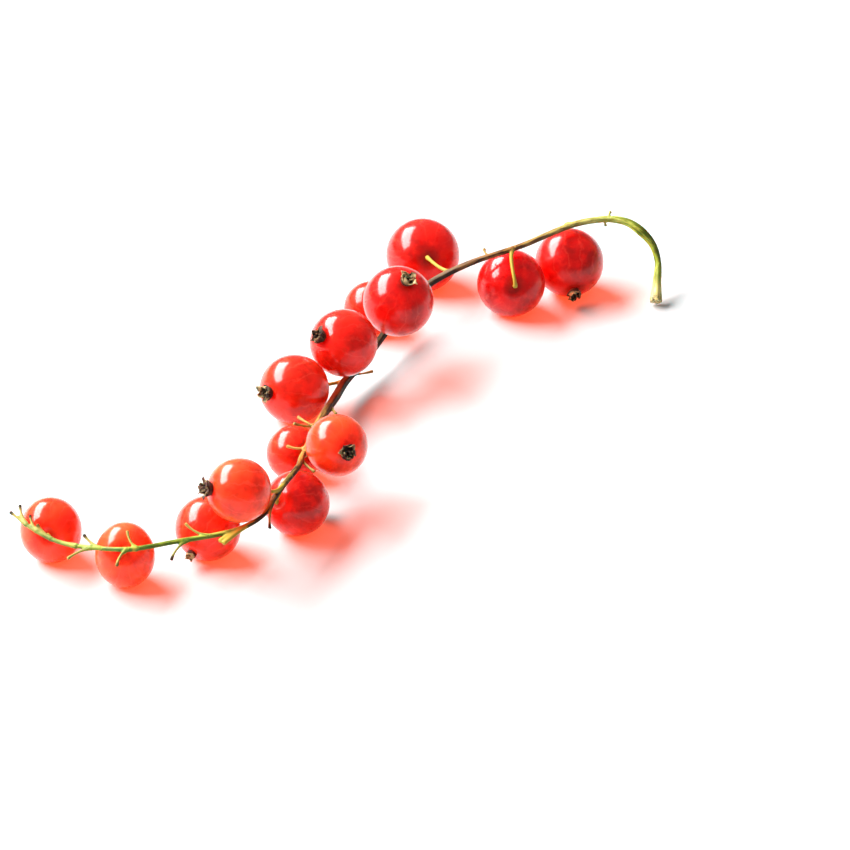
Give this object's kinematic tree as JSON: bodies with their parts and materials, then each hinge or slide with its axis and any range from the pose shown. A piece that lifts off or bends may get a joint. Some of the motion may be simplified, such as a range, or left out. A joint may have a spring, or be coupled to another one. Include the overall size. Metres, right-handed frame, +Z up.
{
  "type": "sprig of redcurrants",
  "caption": "Sprig of ripe redcurrants lying on a surface: a thin arched green stalk with glossy round berries on short pedicels, each ending in a dry calyx.",
  "frame": {"origin": "on the surface that the sprig lies on, under the middle of its box", "axes": "+Z up, +X to the right and +Y away, as the picture sees the sprig; the cut end is at +X +Y and the bare tail at -X -Y"},
  "size_m": [0.0853, 0.087, 0.0159],
  "materials": {
    "stalk": "satin",
    "berry_skin": "gloss",
    "dry_calyx": "matte"
  },
  "bodies": {
    "root": {"strig": "stalk", "berry_01": "berry_skin", "berry_02": "berry_skin", "berry_03": "berry_skin", "berry_04": "berry_skin", "berry_05": "berry_skin", "berry_06": "berry_skin", "berry_07": "berry_skin", "berry_08": "berry_skin", "berry_09": "berry_skin", "berry_10": "berry_skin", "berry_11": "berry_skin", "berry_12": "berry_skin", "berry_13": "berry_skin", "berry_14": "berry_skin", "calyx_01": "dry_calyx", "calyx_02": "dry_calyx", "calyx_03": "dry_calyx", "calyx_04": "dry_calyx", "calyx_05": "dry_calyx", "calyx_06": "dry_calyx", "calyx_07": "dry_calyx", "calyx_08": "dry_calyx", "calyx_09": "dry_calyx", "calyx_10": "dry_calyx", "calyx_11": "dry_calyx", "calyx_12": "dry_calyx", "calyx_13": "dry_calyx", "calyx_14": "dry_calyx"}
  },
  "joints": []
}
